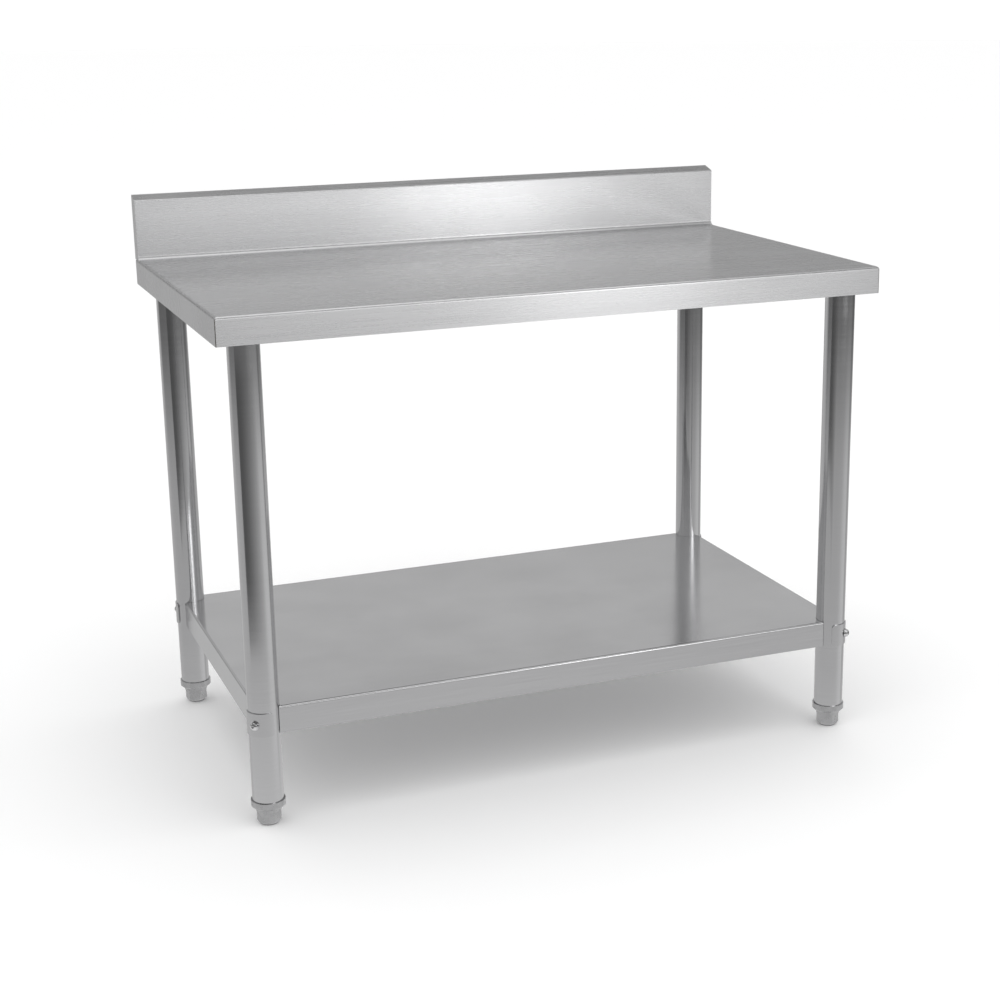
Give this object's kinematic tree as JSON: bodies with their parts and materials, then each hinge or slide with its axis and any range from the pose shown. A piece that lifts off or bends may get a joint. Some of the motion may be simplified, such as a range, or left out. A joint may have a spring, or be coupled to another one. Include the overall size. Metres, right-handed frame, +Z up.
{
  "type": "stainless steel work table",
  "caption": "Stainless steel kitchen work table with a rear splash, folded edges, round legs on adjustable screw feet and a notched undershelf clamped to the legs.",
  "frame": {"origin": "on the floor, at the centre of the table's footprint", "axes": "+X along the table's length to the right of the person working at it, +Y towards the splash and the wall, +Z up"},
  "size_m": [1.2, 0.7, 1.0052],
  "materials": {
    "top_sheet": "fine brushed grain along the table's length",
    "shelf_sheet": "fine brushed grain along the table's length",
    "channel_sheet": "mill finish",
    "leg_tube": "satin polished along the tube",
    "welded_steel": "mill finish with weld marks",
    "saddle_steel": "satin",
    "fastener_steel": "polished",
    "collar_metal": "satin",
    "foot_metal": "satin",
    "stem_steel": "threaded",
    "glide_plastic": "matte black"
  },
  "bodies": {
    "table_frame": {"worktop": "top_sheet", "splash_cap_left": "top_sheet", "splash_cap_right": "top_sheet", "cross_channel_left": "channel_sheet", "cross_channel_right": "channel_sheet", "long_channel": "channel_sheet", "undershelf": "shelf_sheet", "shelf_channel": "channel_sheet", "leg_front_left": "leg_tube", "leg_socket_front_left": "welded_steel", "set_screw_front_left": "fastener_steel", "shelf_cradle_front_left": "welded_steel", "saddle_plate_front_left": "saddle_steel", "saddle_bolt_front_left": "fastener_steel", "outer_washer_front_left": "fastener_steel", "inner_washer_front_left": "fastener_steel", "saddle_nut_front_left": "fastener_steel", "leg_insert_front_left": "collar_metal", "leg_front_right": "leg_tube", "leg_socket_front_right": "welded_steel", "set_screw_front_right": "fastener_steel", "shelf_cradle_front_right": "welded_steel", "saddle_plate_front_right": "saddle_steel", "saddle_bolt_front_right": "fastener_steel", "outer_washer_front_right": "fastener_steel", "inner_washer_front_right": "fastener_steel", "saddle_nut_front_right": "fastener_steel", "leg_insert_front_right": "collar_metal", "leg_rear_left": "leg_tube", "leg_socket_rear_left": "welded_steel", "set_screw_rear_left": "fastener_steel", "shelf_cradle_rear_left": "welded_steel", "saddle_plate_rear_left": "saddle_steel", "saddle_bolt_rear_left": "fastener_steel", "outer_washer_rear_left": "fastener_steel", "inner_washer_rear_left": "fastener_steel", "saddle_nut_rear_left": "fastener_steel", "leg_insert_rear_left": "collar_metal", "leg_rear_right": "leg_tube", "leg_socket_rear_right": "welded_steel", "set_screw_rear_right": "fastener_steel", "shelf_cradle_rear_right": "welded_steel", "saddle_plate_rear_right": "saddle_steel", "saddle_bolt_rear_right": "fastener_steel", "outer_washer_rear_right": "fastener_steel", "inner_washer_rear_right": "fastener_steel", "saddle_nut_rear_right": "fastener_steel", "leg_insert_rear_right": "collar_metal"},
    "glide_front_left": {"glide_pad_front_left": "glide_plastic"},
    "screw_foot_front_left": {"foot_front_left": "foot_metal", "foot_stem_front_left": "stem_steel"},
    "glide_front_right": {"glide_pad_front_right": "glide_plastic"},
    "screw_foot_front_right": {"foot_front_right": "foot_metal", "foot_stem_front_right": "stem_steel"},
    "glide_rear_left": {"glide_pad_rear_left": "glide_plastic"},
    "screw_foot_rear_left": {"foot_rear_left": "foot_metal", "foot_stem_rear_left": "stem_steel"},
    "glide_rear_right": {"glide_pad_rear_right": "glide_plastic"},
    "screw_foot_rear_right": {"foot_rear_right": "foot_metal", "foot_stem_rear_right": "stem_steel"}
  },
  "joints": [
    {"name": "foot_travel_front_left", "type": "slide", "parent": "table_frame", "child": "glide_front_left", "axis": [0, 0, -1], "range_m": [0, 0.025]},
    {"name": "foot_spin_front_left", "type": "hinge", "parent": "glide_front_left", "child": "screw_foot_front_left", "pos_m": [-0.547, -0.306, 0.02], "axis": [0, 0, -1], "range_deg": [0, 3600]},
    {"name": "foot_travel_front_right", "type": "slide", "parent": "table_frame", "child": "glide_front_right", "axis": [0, 0, -1], "range_m": [0, 0.025]},
    {"name": "foot_spin_front_right", "type": "hinge", "parent": "glide_front_right", "child": "screw_foot_front_right", "pos_m": [0.547, -0.306, 0.02], "axis": [0, 0, -1], "range_deg": [0, 3600]},
    {"name": "foot_travel_rear_left", "type": "slide", "parent": "table_frame", "child": "glide_rear_left", "axis": [0, 0, -1], "range_m": [0, 0.025]},
    {"name": "foot_spin_rear_left", "type": "hinge", "parent": "glide_rear_left", "child": "screw_foot_rear_left", "pos_m": [-0.547, 0.306, 0.02], "axis": [0, 0, -1], "range_deg": [0, 3600]},
    {"name": "foot_travel_rear_right", "type": "slide", "parent": "table_frame", "child": "glide_rear_right", "axis": [0, 0, -1], "range_m": [0, 0.025]},
    {"name": "foot_spin_rear_right", "type": "hinge", "parent": "glide_rear_right", "child": "screw_foot_rear_right", "pos_m": [0.547, 0.306, 0.02], "axis": [0, 0, -1], "range_deg": [0, 3600]}
  ],
  "couplings": [
    {"joint": "foot_spin_front_left", "follows": "foot_travel_front_left", "rad_per_m": 2513.3},
    {"joint": "foot_spin_front_right", "follows": "foot_travel_front_right", "rad_per_m": 2513.3},
    {"joint": "foot_spin_rear_left", "follows": "foot_travel_rear_left", "rad_per_m": 2513.3},
    {"joint": "foot_spin_rear_right", "follows": "foot_travel_rear_right", "rad_per_m": 2513.3}
  ]
}
